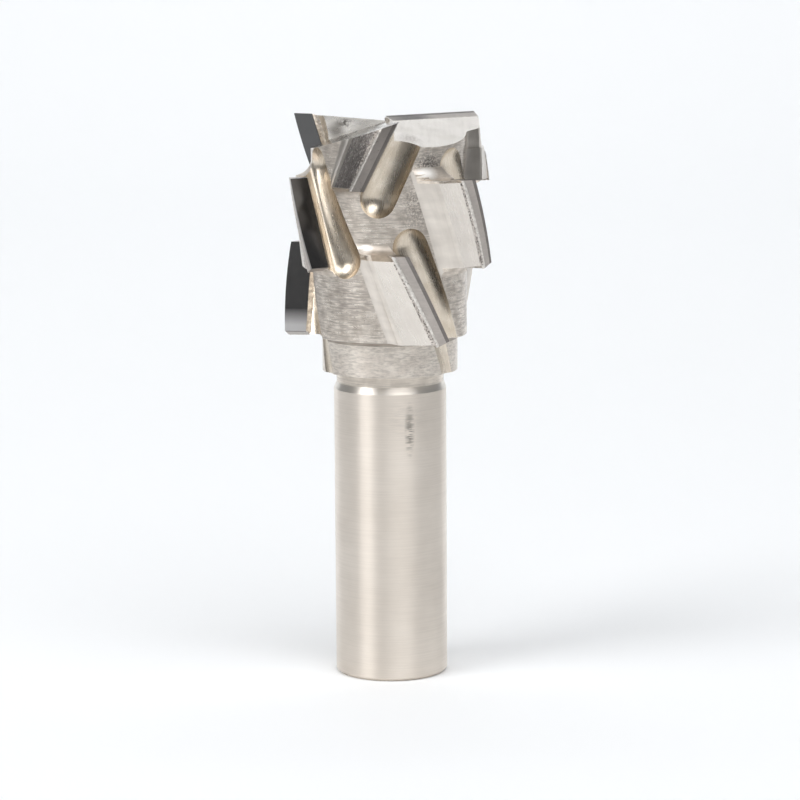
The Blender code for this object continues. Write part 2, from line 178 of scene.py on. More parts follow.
def makeSpecksGroup():
    # Small pits and flecks: 1 inside a fleck, 0 between them. A fleck is where noise passes
    # a level that sinks as the cover grows.
    level = {"top": 0.72, "perCover": 0.4, "fade": 0.12}
    group, source, target = newGroup(
        "fine flecks",
        [("Place", "Vector", (0.0, 0.0, 0.0)), ("Scale", "Float", 2500.0),
         ("Cover", "Float", 0.4)],
        ("Flecks",))
    fine = addNoise(group, -500, 0, 2.0, 0.7)
    cover = addNode(group, "ShaderNodeMath", -500, -250, {0: level["top"]}, operation="SUBTRACT")
    edge = addNode(group, "ShaderNodeMapRange", -150, 0, interpolation_type="SMOOTHSTEP")
    upper = addNode(group, "ShaderNodeMath", -350, -350, {1: level["fade"]}, operation="ADD")
    share = addNode(group, "ShaderNodeMath", -650, -250, {1: level["perCover"]},
                    operation="MULTIPLY")
    wire(source.outputs["Place"], fine.inputs["Vector"])
    wire(source.outputs["Scale"], fine.inputs["Scale"])
    wire(source.outputs["Cover"], share.inputs[0])
    wire(share.outputs[0], cover.inputs[1])
    wire(cover.outputs[0], edge.inputs["From Min"])
    wire(cover.outputs[0], upper.inputs[0])
    wire(upper.outputs[0], edge.inputs["From Max"])
    wire(fine.outputs["Fac"], edge.inputs["Value"])
    wire(edge.outputs["Result"], target.inputs["Flecks"])
    return group


def makeRimHighlightGroup():
    # Rays sent into the metal find the air beyond a nearby corner: 1 along sharp rims, for a
    # painted highlight
    group, source, target = newGroup("broken rims", [("Width", "Float", 0.0002)], ("Rim",))
    inside = addNode(group, "ShaderNodeAmbientOcclusion", -400, 0,
                     inside=True, only_local=True, samples=6)
    turn = addRange(group, -100, 0, 0.95, 0.62)
    wire(source.outputs["Width"], inside.inputs["Distance"])
    wire(inside.outputs["AO"], turn.inputs["Value"])
    wire(turn.outputs["Result"], target.inputs["Rim"])
    return group


def makePatchGroup():
    # A patch, for real marks and for painted highlights and shade: an oval that fades out from a
    # point, broken by noise
    zero = (0.0, 0.0, 0.0)
    group, source, target = newGroup(
        "patch of wear and painted light",
        [("Place", "Vector", zero), ("Centre", "Vector", zero),
         ("Shape", "Vector", zero), ("Stretch", "Vector", zero)],
        ("Patch Mask",))
    away = addNode(group, "ShaderNodeVectorMath", -700, 100, operation="SUBTRACT")
    oval = addNode(group, "ShaderNodeVectorMath", -500, 100, operation="MULTIPLY")
    size = addNode(group, "ShaderNodeVectorMath", -300, 100, operation="LENGTH")
    fade = addRange(group, -100, 100, 0.3, 1.0, 1.0, 0.0)
    stretch = addNode(group, "ShaderNodeVectorMath", -500, -150, operation="MULTIPLY")
    noise = addNoise(group, -300, -150, 2.0, 0.6)
    broken = addRange(group, -100, -150, 0.40, 0.58)
    both = addNode(group, "ShaderNodeMath", 100, 0, operation="MULTIPLY")
    wire(source.outputs["Place"], away.inputs[0])
    wire(source.outputs["Centre"], away.inputs[1])
    wire(away.outputs[0], oval.inputs[0])
    wire(source.outputs["Shape"], oval.inputs[1])
    wire(oval.outputs[0], size.inputs[0])
    wire(size.outputs["Value"], fade.inputs["Value"])
    wire(source.outputs["Place"], stretch.inputs[0])
    wire(source.outputs["Stretch"], stretch.inputs[1])
    wire(stretch.outputs[0], noise.inputs["Vector"])
    wire(noise.outputs["Fac"], broken.inputs["Value"])
    wire(fade.outputs["Result"], both.inputs[0])
    wire(broken.outputs["Result"], both.inputs[1])
    wire(both.outputs["Value"], target.inputs["Patch Mask"])
    return group


marks = makeMarksGroup()
specks = makeSpecksGroup()
rims = makeRimHighlightGroup()
patchOfWearAndLight = makePatchGroup()


def mixColours(tree, x, y, factor, first, second):
    mix = addNode(tree, "ShaderNodeMix", x, y, data_type="RGBA")
    for socket, value in (("A", first), ("B", second)):
        if isinstance(value, tuple):
            mix.inputs[socket].default_value = (*value, 1.0)
        else:
            wire(value, mix.inputs[socket])
    wire(factor, mix.inputs["Factor"])
    return mix.outputs["Result"]


# The highlight painted along the rims: how far in from a corner it reaches in mm, and its colour
rim = {"width": 0.22, "colour": (0.92, 0.88, 0.82)}
streakShade = 0.62    # colour of the deepest lines, as a share of the dark colour


def makeMetal(name, settings):
    # light, dark: colours, blended by blotches; rough: range; stretch: of the lines per metre
    # streak: how far lines darken the colour; rim: strength of the painted rim highlight; bump: of
    # the lines in mm
    # flecks: (scale, cover, colour); sparks: raised ones, (scale, cover, mm); wave: (scale, mm)
    # paintedReflection: colour lighter towards the bottom, (height where it starts, height where it
    # is full, colour)
    # patches: (centre in mm, reach in mm, stretch of the noise, strength, colour)
    # run: the lines follow the cut, by UV; turned: how far the gloss follows the turning marks
    surface = bpy.data.materials.new(name)
    surface.use_nodes = True
    tree = surface.node_tree
    shader = tree.nodes["Principled BSDF"]
    shader.inputs["Metallic"].default_value = settings.get("metallic", 1.0)
    shader.inputs["IOR"].default_value = settings.get("ior", 1.5)
    if "run" in settings:
        place = addNode(tree, "ShaderNodeUVMap", -1500, 0, uv_map="run").outputs["UV"]
    else:
        place = addNode(tree, "ShaderNodeTexCoord", -1500, 0).outputs["Object"]
    solid = addNode(tree, "ShaderNodeTexCoord", -1500, -300).outputs["Object"]
    group = addNode(tree, "ShaderNodeGroup", -1200, 0,
                    {"Stretch": settings["stretch"], "Blotch Scale": settings["blotchScale"]},
                    node_tree=marks)
    wire(place, group.inputs["Place"])
    lines = group.outputs["Lines"]
    blotches = addRange(tree, -900, 250, 0.34, 0.66)
    wire(group.outputs["Blotches"], blotches.inputs["Value"])
    colour = mixColours(tree, -650, 300, blotches.outputs["Result"],
                        settings["dark"], settings["light"])
    streak = addRange(tree, -900, 0, 0.42, 0.66, 0.0, settings["streak"])
    wire(lines, streak.inputs["Value"])
    deep = tuple(streakShade * c for c in settings["dark"])
    colour = mixColours(tree, -450, 300, streak.outputs["Result"], colour, deep)
    if "flecks" in settings:
        scale, cover, tint = settings["flecks"]
        fleck = addNode(tree, "ShaderNodeGroup", -900, -500, node_tree=specks,
                        inputs={"Scale": scale, "Cover": cover})
        wire(solid, fleck.inputs["Place"])
        colour = mixColours(tree, -250, 300, fleck.outputs["Flecks"], colour, tint)
    # Painted highlight: the colour lightens along the rims
    if "rim" in settings:
        edge = addNode(tree, "ShaderNodeGroup", -900, -750, node_tree=rims,
                       inputs={"Width": rim["width"] * mm})
        bright = addRange(tree, -650, -750, 0.0, 1.0, 0.0, settings["rim"])
        wire(edge.outputs["Rim"], bright.inputs["Value"])
        colour = mixColours(tree, -50, 300, bright.outputs["Result"], colour, rim["colour"])
    # Painted reflection: the colour lightens towards the bottom
    if "paintedReflection" in settings:
        high, low, tint = settings["paintedReflection"]
        height = addNode(tree, "ShaderNodeSeparateXYZ", -900, -1750)
        wire(solid, height.inputs[0])
        paintedReflection = addRange(tree, -650, -1750, high, low)
        wire(height.outputs["Z"], paintedReflection.inputs["Value"])
        colour = mixColours(tree, -50, 700, paintedReflection.outputs["Result"], colour, tint)
    for i, (centre, reach, stretch, strength, tint) in enumerate(settings.get("patches", [])):
        below = -2000 - 250 * i
        patch = addNode(tree, "ShaderNodeGroup", -900, below, node_tree=patchOfWearAndLight,
                        inputs={"Centre": [c * mm for c in centre],
                                "Shape": [1.0 / (r * mm) for r in reach], "Stretch": stretch})
        wire(solid, patch.inputs["Place"])
        cover = addRange(tree, -650, below, 0.0, 1.0, 0.0, strength)
        wire(patch.outputs["Patch Mask"], cover.inputs["Value"])
        colour = mixColours(tree, -450, below, cover.outputs["Result"], colour, tint)
    rough = addRange(tree, -650, 0, 0.3, 0.7, *settings["rough"])
    wire(lines, rough.inputs["Value"])
    bumps = [(lines, settings["bump"])]
    if "sparks" in settings:
        scale, cover, depth = settings["sparks"]
        spark = addNode(tree, "ShaderNodeGroup", -900, -1000, node_tree=specks,
                        inputs={"Scale": scale, "Cover": cover})
        wire(solid, spark.inputs["Place"])
        bumps.append((spark.outputs["Flecks"], depth))
    if "wave" in settings:
        scale, depth = settings["wave"]
        wave = addNoise(tree, -900, -1250, 1.0, 0.4, scale)
        wire(solid, wave.inputs["Vector"])
        bumps.append((wave.outputs["Fac"], depth))
    normal = None
    for i, (height, depth) in enumerate(bumps):
        bump = addNode(tree, "ShaderNodeBump", -350 + 180 * i, -300,
                       {"Strength": 1.0, "Distance": depth * mm})
        wire(height, bump.inputs["Height"])
        if normal:
            wire(normal, bump.inputs["Normal"])
        normal = bump.outputs["Normal"]
    wire(colour, shader.inputs["Base Color"])
    wire(rough.outputs["Result"], shader.inputs["Roughness"])
    wire(normal, shader.inputs["Normal"])
    if "turned" in settings:
        shader.inputs["Anisotropic"].default_value = settings["turned"]
        shader.inputs["Anisotropic Rotation"].default_value = 0.25    # a quarter turn
        tangent = addNode(tree, "ShaderNodeTangent", -350, -550, direction_type="RADIAL", axis="Z")
        wire(tangent.outputs["Tangent"], shader.inputs["Tangent"])
    return surface


plain = (0.0, 0.0, 0.0)    # a patch without noise
bodyLooks = {
    "shank": makeMetal("ground shank", {
        "light": (0.899, 0.822, 0.738), "dark": (0.822, 0.745, 0.661), "rough": (0.33, 0.4),
        "stretch": (90, 90, 4200), "blotchScale": 70, "streak": 0.12, "bump": 0.0015,
        "turned": 0.9,
        "patches": [((4.2, -11.8, 56.5), (1.25, 3.3, 6.7), (450, 450, 3000),
                     0.75, (0.2, 0.18, 0.155)),    # the rubbed mark, and duller metal around it
                    ((3, -12, 59), (6, 6, 5), (300, 300, 2600),
                     0.25, (0.5, 0.46, 0.42))]}),
    "neck": makeMetal("turned neck", {
        "light": (0.93, 0.885, 0.82), "dark": (0.86, 0.8, 0.725), "rough": (0.34, 0.44),
        "stretch": (90, 90, 4200), "blotchScale": 90, "streak": 0.15, "bump": 0.001,
        "turned": 0.7}),
    "undercut": makeMetal("turned undercut", {
        "light": (0.937, 0.855, 0.756), "dark": (0.665, 0.597, 0.522), "rough": (0.3, 0.4),
        "stretch": (160, 160, 4200), "blotchScale": 220, "streak": 0.45, "bump": 0.004,
        "turned": 0.85}),
    "collar": makeMetal("turned collar", {
        "light": (0.93, 0.86, 0.775), "dark": (0.76, 0.685, 0.61), "rough": (0.28, 0.38),
        "stretch": (700, 700, 2600), "blotchScale": 300, "streak": 0.6, "bump": 0.024,
        "turned": 0.8, "sparks": (1900, 0.5, 0.03), "rim": 0.15}),
    "core": makeMetal("milled head", {
        "light": (0.9, 0.825, 0.743), "dark": (0.6, 0.535, 0.47), "rough": (0.25, 0.35),
        "stretch": (330, 330, 3000), "blotchScale": 420, "streak": 0.75, "bump": 0.017,
        "turned": 0.75, "sparks": (3000, 0.5, 0.02), "rim": 0.35,
        "patches": [((8.6, -14.8, 115), (4.5, 5, 3.6), (2600, 2600, 2600),
                     0.85, (0.1, 0.09, 0.085)),
                    ((5.5, -16.5, 106), (4.2, 5, 7.5), (2600, 2600, 2800),
                     0.6, (0.2, 0.18, 0.165)),
                    ((-8.5, -15, 86), (7.5, 7, 8), (380, 380, 2700),
                     0.6, (0.34, 0.3, 0.275))]}),
    "gullet": makeMetal("ball-milled gullet", {
        "light": (0.769, 0.687, 0.582), "dark": (0.629, 0.547, 0.443), "rough": (0.24, 0.32),
        "stretch": (140, 1500, 1), "blotchScale": 250, "streak": 0.12, "bump": 0.0015,
        "run": True, "sparks": (3400, 0.5, 0.005), "rim": 0.5}),
    "step": makeMetal("brazed step", {
        "light": (0.815, 0.743, 0.684), "dark": (0.553, 0.495, 0.451), "rough": (0.28, 0.46),
        "stretch": (1300, 1300, 1300), "blotchScale": 900, "streak": 0.5, "bump": 0.02,
        "flecks": (2600, 0.6, (0.16, 0.145, 0.13)), "rim": 0.8}),
    "land": makeMetal("ground land", {
        "light": (0.8, 0.745, 0.685), "dark": (0.75, 0.695, 0.635), "rough": (0.24, 0.34),
        "stretch": (2200, 130, 1), "blotchScale": 250, "streak": 0.05, "bump": 0.0008,
        "run": True, "sparks": (3600, 0.5, 0.004), "wave": (240, 0.03), "rim": 0.6}),
    # Painted dark reflection: this land's colour is darkened to stand for the dark surroundings it
    # mirrors
    "landWithDarkReflection": makeMetal("land with painted dark reflection", {
        "light": (0.44, 0.39, 0.365), "dark": (0.31, 0.28, 0.265), "rough": (0.22, 0.32),
        "stretch": (1500, 130, 1), "blotchScale": 250, "streak": 0.1, "bump": 0.001,
        "run": True, "flecks": (3600, 0.4, (0.92, 0.88, 0.83)), "sparks": (3600, 0.5, 0.005),
        "rim": 0.8}),
    "back": makeMetal("milled back", {
        "light": (0.81, 0.75, 0.68), "dark": (0.68, 0.625, 0.565), "rough": (0.28, 0.38),
        "stretch": (1100, 50, 1), "blotchScale": 300, "streak": 0.25, "bump": 0.004,
        "run": True, "sparks": (3600, 0.5, 0.006), "wave": (150, 0.3), "rim": 0.5}),
    "fillet": makeMetal("ledge hollow with painted highlights", {
        "light": (0.75, 0.677, 0.605), "dark": (0.581, 0.521, 0.454), "rough": (0.42, 0.54),
        "stretch": (600, 600, 2400), "blotchScale": 500, "streak": 0.35, "bump": 0.006,
        "sparks": (3000, 0.5, 0.01), "rim": 0.5,
        # Painted light on the hollows: two painted highlights, and a painted dark reflection beside
        # the second
        "patches": [((8.1, -15.9, 113.1), (2.9, 4, 1.9), plain, 1.6, (0.94, 0.92, 0.89)),
                    ((-5, -16.8, 97.2), (1.7, 4, 1.8), plain, 1.6, (0.94, 0.92, 0.89)),
                    ((-0.5, -17.6, 96.8), (3.4, 4, 2.5), plain, 1.2, (0.36, 0.32, 0.28))]}),
    "relief": makeMetal("ground end", {
        "light": (0.729, 0.688, 0.643), "dark": (0.66, 0.62, 0.568), "rough": (0.12, 0.2),
        "stretch": (1600, 120, 120), "blotchScale": 160, "streak": 0.03, "bump": 0.001,
        "wave": (130, 0.25), "rim": 0.6,
        "patches": [((4.3, -11.8, 120.4), (3, 3.6, 2), (2600, 2600, 2600),
                     0.85, (0.3, 0.265, 0.235))]}),
    "endWall": makeMetal("wall at the middle of the end", {
        "light": (0.86, 0.82, 0.77), "dark": (0.74, 0.7, 0.65), "rough": (0.22, 0.32),
        "stretch": (300, 300, 900), "blotchScale": 200, "streak": 0.1, "bump": 0.002,
        "wave": (200, 0.22), "rim": 0.6,
        # Painted reflections: two dark patches stand for the dark that the wall's waviness reflects
        "patches": [((-9.8, 4.7, 122.6), (2.6, 5, 1.2), (600, 600, 600),
                     1, (0.16, 0.145, 0.13)),
                    ((-11.6, 5.5, 120.9), (2.4, 5, 2.4), plain, 1.3, (0.24, 0.215, 0.19))]}),
    "seat": makeMetal("milled seat", {
        "light": (0.94, 0.843, 0.737), "dark": (0.675, 0.591, 0.507), "rough": (0.24, 0.38),
        "stretch": (900, 900, 2200), "blotchScale": 400, "streak": 0.4, "bump": 0.006,
        "rim": 0.8}),
    "ledge": makeMetal("milled ledge", {
        "light": (0.598, 0.529, 0.454), "dark": (0.46, 0.402, 0.339), "rough": (0.38, 0.5),
        "stretch": (900, 900, 900), "blotchScale": 400, "streak": 0.2, "bump": 0.004,
        "sparks": (3000, 0.5, 0.006), "rim": 0.5}),
    # Painted shade: the hollow under the head is coloured dark brown for the shade there
    "shadedShoulder": makeMetal("turned shoulder with painted shade", {
        "light": (0.462, 0.407, 0.352), "dark": (0.352, 0.308, 0.264), "rough": (0.36, 0.48),
        "stretch": (260, 260, 3600), "blotchScale": 300, "streak": 0.3, "bump": 0.004,
        "turned": 0.7}),
}
# Painted shade: a dark patch over the top of the end plate and the tips beside it
endPaintedShade = ((5, 1, 123.7), (7.5, 6.5, 2), plain, 1.5, (0.1, 0.095, 0.09))
# The rake faces are painted lighter towards the bottom of the lowest tips: a painted reflection
diamond = makeMetal("polished diamond layer", {
    "light": (0.016, 0.0145, 0.014), "dark": (0.006, 0.0055, 0.006), "rough": (0.17, 0.19),
    "stretch": (700, 700, 700), "blotchScale": 500, "streak": 0.2, "bump": 0.001,
    "metallic": 0, "ior": 1.85, "paintedReflection": (0.082, 0.0785, (0.46, 0.455, 0.46))})
diamondEdge = makeMetal("ground diamond edge", {
    "light": (0.24, 0.22, 0.205), "dark": (0.2, 0.18, 0.17), "rough": (0.3, 0.4),
    "stretch": (600, 600, 3000), "blotchScale": 400, "streak": 0.2, "bump": 0.002,
    "patches": [endPaintedShade]})
carbide = makeMetal("ground carbide", {
    "light": (0.497, 0.452, 0.418), "dark": (0.429, 0.39, 0.362), "rough": (0.26, 0.36),
    "stretch": (600, 600, 3000), "blotchScale": 300, "streak": 0.2, "bump": 0.002,
    "patches": [endPaintedShade]})
braze = makeMetal("silver braze", {
    "light": (0.86, 0.82, 0.77), "dark": (0.64, 0.6, 0.555), "rough": (0.3, 0.48),
    "stretch": (1600, 1600, 1600), "blotchScale": 1500, "streak": 0.35, "bump": 0.02,
    "flecks": (2800, 0.35, (0.26, 0.235, 0.21))})
print("materials made")


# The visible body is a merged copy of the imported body. Every corner gets the normal of the true
# surface that its face was cut to, so the facets of the solid don't show. A surface takes points
# and gives their distance from it, its normal there, and the place (along, across) for the marks.
farOff = 50.0    # distance given to points that a surface doesn't reach


def radialNormal(p):
    return unit(p * [1.0, 1.0, 0.0])


def aroundAndUp(p):
    return np.stack([np.arctan2(p[:, 0], -p[:, 1]) * tool["headRadius"], p[:, 2]], -1)


def turnedSurface(low, high):
    # A cone or cylinder between two (radius, height) ends, or a flat ring between equal heights
    run = np.array(high, float) - np.array(low, float)
    run = run / np.hypot(*run)

    def surface(p):
        radius = np.hypot(p[:, 0], p[:, 1])
        ahead = np.stack([radius - low[0], p[:, 2] - low[1]], -1)
        away = np.abs(ahead[:, 0] * run[1] - ahead[:, 1] * run[0])
        normal = radialNormal(p) * run[1] - up * run[0]
        beyond = np.maximum(0.0, np.maximum(low[1] - p[:, 2], p[:, 2] - high[1]))
        return away + beyond, normal, aroundAndUp(p)
    return surface


def shoulderSurface(p):
    # A quarter round hollow between collar and head
    fillet = tool["shoulderFillet"]
    centre = (tool["collarRadius"] + fillet, tool["headBottom"] - fillet)
    radius = np.hypot(p[:, 0], p[:, 1])
    toCentre = np.stack([centre[0] - radius, centre[1] - p[:, 2]], -1)
    length = np.hypot(toCentre[:, 0], toCentre[:, 1])
    normal = radialNormal(p) * toCentre[:, :1] + up * toCentre[:, 1:]
    return np.abs(length - fillet), unit(normal), aroundAndUp(p)


def gulletSurface(row, index):
    # A ball swept up a helix: distance from the nearest ball centre, found in a few steps along the
    # helix, with walls upright above the centres
    ball = tool["gulletBall"]
    centreRadius = tool["gulletFloor"] + ball
    middle = sum(row["edge"]) / 2
    start = row["azimuth"] + row["lead"] + tool["pitch"] * index
    lean = math.radians(row["twist"]) * tool["headRadius"]

    def surface(p):
        height = np.clip(p[:, 2], *row["gullet"])
        for _ in range(4):
            across = dot(p, forward(start + row["twist"] * (height - middle)))
            height = height + (p[:, 2] - height + lean * across) / (1.0 + lean * lean)
            height = np.clip(height, *row["gullet"])
        turned = start + row["twist"] * (height - middle)
        across = dot(p, forward(turned))
        depth = np.minimum(dot(p, outward(turned)) - centreRadius, 0.0)
        rise = p[:, 2] - height
        offset = (forward(turned) * across[:, None] + outward(turned) * depth[:, None]
                  + up * rise[:, None])
        length = np.linalg.norm(offset, axis=-1)
        behind = np.where(dot(p, outward(turned)) < 0.0, farOff, 0.0)
        run = np.stack([height + rise, np.arctan2(across, -depth) * ball], -1)
        return np.abs(length - ball) + behind, -unit(offset), run
    return surface


class Tooth:
    # The rake plane of one tip: w in front of it, r out from the axis, s up along the edge
    def __init__(self, azimuth, height, lean):
        self.azimuth = azimuth
        self.height = height
        self.lean = math.radians(lean)
        self.outward = outward(azimuth)
        self.front = forward(azimuth) * math.cos(self.lean) + up * math.sin(self.lean)
        self.along = up * math.cos(self.lean) - forward(azimuth) * math.sin(self.lean)

    def place(self, w, r, s):
        w, r, s = np.broadcast_arrays(w, r, s)
        return (up * self.height + w[..., None] * self.front + r[..., None] * self.outward
                + s[..., None] * self.along)

    def rise(self, w, height):
        return (height - self.height - w * math.sin(self.lean)) / math.cos(self.lean)

    def sideways(self, w, s):
        return w * math.cos(self.lean) - s * math.sin(self.lean)

    def reach(self, w, s, radius):
        return np.sqrt(radius ** 2 - self.sideways(w, s) ** 2)

    def edgeAzimuth(self, height):
        sideways = self.sideways(0.0, self.rise(0.0, height)) / tool["cutRadius"]
        return self.azimuth + np.degrees(np.arcsin(np.clip(sideways, -1.0, 1.0)))

    def edgeSlope(self, height):
        # How far the edge turns per mm of height
        return np.radians(self.edgeAzimuth(height + 0.5) - self.edgeAzimuth(height - 0.5))


def makeTooth(name, index):
    row = rows[name]
    ahead = shortToothTurn if (name, index) == shortTooth else 0.0
    azimuth = row["azimuth"] + tool["pitch"] * index + ahead
    return Tooth(azimuth, sum(row["edge"]) / 2, row["lean"])


def sectionSurface(tooth, low, high, limits, flare=0.0, flared=(False, False), soft=0.0):
    # One straight of a tooth's outline, turned with the edge as it climbs. A flared end of it
    # stands further behind towards the bottom. A soft one leans into the head's wall at its end.
    def end(point, moves, height):
        share = np.clip((limits[1] - height) / (limits[1] - limits[0]), 0.0, 1.0)
        angle = math.atan2(point[1], point[0]) + np.radians(flare) * share * moves
        return math.hypot(*point) * np.stack([np.cos(angle), np.sin(angle)], -1)

    def surface(p):
        azimuth = tooth.edgeAzimuth(p[:, 2])
        slope = tooth.edgeSlope(p[:, 2])
        first = end(low, flared[0], p[:, 2])
        run = end(high, flared[1], p[:, 2]) - first
        length = np.hypot(run[:, 0], run[:, 1])
        run = run / length[:, None]
        out = dot(p, outward(azimuth))
        behind = -dot(p, forward(azimuth))
        ahead = np.stack([out, behind], -1) - first
        away = np.abs(ahead[:, 0] * run[:, 1] - ahead[:, 1] * run[:, 0])
        along = dot(ahead, run)
        beyond = np.maximum(0.0, np.maximum(-along, along - length))
        beyond += np.maximum(0.0, np.maximum(limits[0] - p[:, 2], p[:, 2] - limits[1]))
        climb = -slope * (out * run[:, 0] + behind * run[:, 1])
        normal = unit(outward(azimuth) * run[:, 1:] + forward(azimuth) * run[:, :1]
                      + up * climb[:, None])
        share = soft * np.clip(along / length, 0.0, 1.0)[:, None] ** 2
        normal = unit(normal * (1.0 - share) + radialNormal(p) * share)
        return away + beyond, normal, np.stack([behind, p[:, 2]], -1)
    return surface


rootSoft = 0.5    # how far a tooth's back has turned into the head's wall where the hollow starts


def rootSurface(tooth, limits):
    # The hollow between a tooth's back and the head
    crest, foot = np.array(toothSection["crest"]), np.array(toothSection["foot"])
    run = (foot - crest) / np.hypot(*(foot - crest))
    centre = foot + np.array([run[1], -run[0]]) * tool["rootFillet"]

    def surface(p):
        azimuth = tooth.edgeAzimuth(p[:, 2])
        slope = tooth.edgeSlope(p[:, 2])
        out = dot(p, outward(azimuth))
        behind = -dot(p, forward(azimuth))
        toCentre = centre - np.stack([out, behind], -1)
        length = np.hypot(toCentre[:, 0], toCentre[:, 1])
        across = toCentre / np.maximum(length, 1e-9)[:, None]
        beyond = np.maximum(0.0, np.maximum(limits[0] - p[:, 2], p[:, 2] - limits[1]))
        climb = slope * (out * across[:, 1] - behind * across[:, 0])
        normal = (outward(azimuth) * across[:, :1] - forward(azimuth) * across[:, 1:]
                  + up * climb[:, None])
        normal = unit(unit(normal) * (1.0 - rootSoft) + radialNormal(p) * rootSoft)
        return np.abs(length - tool["rootFillet"]) + beyond, normal, np.stack([behind, p[:, 2]], -1)
    return surface


def ledgeSurface(tooth, height, side, radius):
    # The hollow that runs from a tooth's end into the head, above it or below it, as far round as
    # these degrees in front of the edge and behind it
    front, back = 8.0, 40.0

    def surface(p):
        around = np.degrees(np.arctan2(p[:, 0], -p[:, 1]))
        behind = (tooth.edgeAzimuth(np.full(len(p), height)) - around + 180.0) % 360.0 - 180.0
        far = np.where((behind < -front) | (behind > back), farOff, 0.0)
        toCentre = np.stack([tool["headRadius"] + radius - np.hypot(p[:, 0], p[:, 1]),
                             height + side * radius - p[:, 2]], -1)
        length = np.hypot(toCentre[:, 0], toCentre[:, 1])
        beyond = np.maximum(0.0, side * (height - p[:, 2]))
        normal = radialNormal(p) * toCentre[:, :1] + up * toCentre[:, 1:]
        return np.abs(length - radius) + far + beyond, unit(normal), aroundAndUp(p)
    return surface


def bodySurfaces():
    shank, neck = tool["shankRadius"], tool["neckRadius"]
    collar, head = tool["collarRadius"], tool["headRadius"]
    chamfer, top, bottom = tool["endChamfer"], tool["shankTop"], tool["collarBottom"]
    taperTop = top + tool["neckTaper"]
    surfaces = [
        ("shank", turnedSurface((shank - chamfer, 0.0), (shank, chamfer))),
        ("shank", turnedSurface((shank, chamfer), (shank, top))),
        ("neck", turnedSurface((shank, top), (neck, taperTop))),
        ("undercut", turnedSurface((neck, taperTop), (neck, bottom))),
        ("collar", turnedSurface((neck, bottom), (collar, bottom))),
        ("collar", turnedSurface((collar, bottom),
                                 (collar, tool["headBottom"] - tool["shoulderFillet"]))),
        ("shadedShoulder", shoulderSurface),
        ("core", turnedSurface((head, tool["headBottom"]), (head, tool["top"]))),
    ]
    outline = list(toothSection.values())
    looks = ("step", "land", "back", "back")
    flared = ((False, False), (False, True), (True, True), (True, False))
    for name, row in rows.items():
        for index in range(tipsPerRow):
            surfaces.append(("gullet", gulletSurface(row, index)))
            tooth = makeTooth(name, index)
            low, high = row["ledge"]
            surfaces.append(("step", sectionSurface(tooth, brazeLine, outline[0], row["land"])))
            for look, start, end, moves in zip(looks, outline, outline[1:], flared):
                # The first upper tooth's land is coloured dark: a painted dark reflection
                if (name, index, look) == ("upper", 0, "land"):
                    look = "landWithDarkReflection"
                soft = rootSoft if end is outline[-1] else 0.0
                straight = sectionSurface(tooth, start, end, row["land"], row["flare"], moves, soft)
                surfaces.append((look, straight))
            below, above = row["fillets"]
            surfaces.append(("back", rootSurface(tooth, (low - below, high + above))))
            if below:
                surfaces.append(("fillet", ledgeSurface(tooth, low, -1, below)))
            if above:
                surfaces.append(("fillet", ledgeSurface(tooth, high, 1, above)))
    plate = Tooth(endPlate["azimuth"], tool["top"], endPlate["lean"])
    limits = (tool["top"] - endPlate["height"] - endPlate["below"], tool["top"] + endPlate["above"])
    surfaces.append(("step", sectionSurface(plate, brazeLine, outline[0], limits)))
    for look, start, end in zip(looks, outline, outline[1:]):
        surfaces.append((look, sectionSurface(plate, start, end, limits)))
    surfaces.append(("back", rootSurface(plate, limits)))
    return surfaces


# Lengths in mm, turns in degrees. A flat counts as level, upright or in line by its normal's share.
bodyFit = {"merge": 0.004, "fit": 0.12, "hollowFit": 0.7, "turn": 24.0, "turnCost": 0.05,
           "wallBlend": 2.2, "slopeSlack": 0.02, "slopeLevel": 0.5, "lipSlack": 0.05,
           "endDepth": 9.0, "endLevel": 0.6, "wallInLine": 0.98}


def mergedCopy(node, name):
    mesh = frame["nodes"][node].data.copy()
    work = bmesh.new()
    work.from_mesh(mesh)
    bmesh.ops.remove_doubles(work, verts=work.verts, dist=bodyFit["merge"] * mm)
    work.to_mesh(mesh)
    work.free()
    mesh.name = name
    mesh.materials.clear()
    return mesh


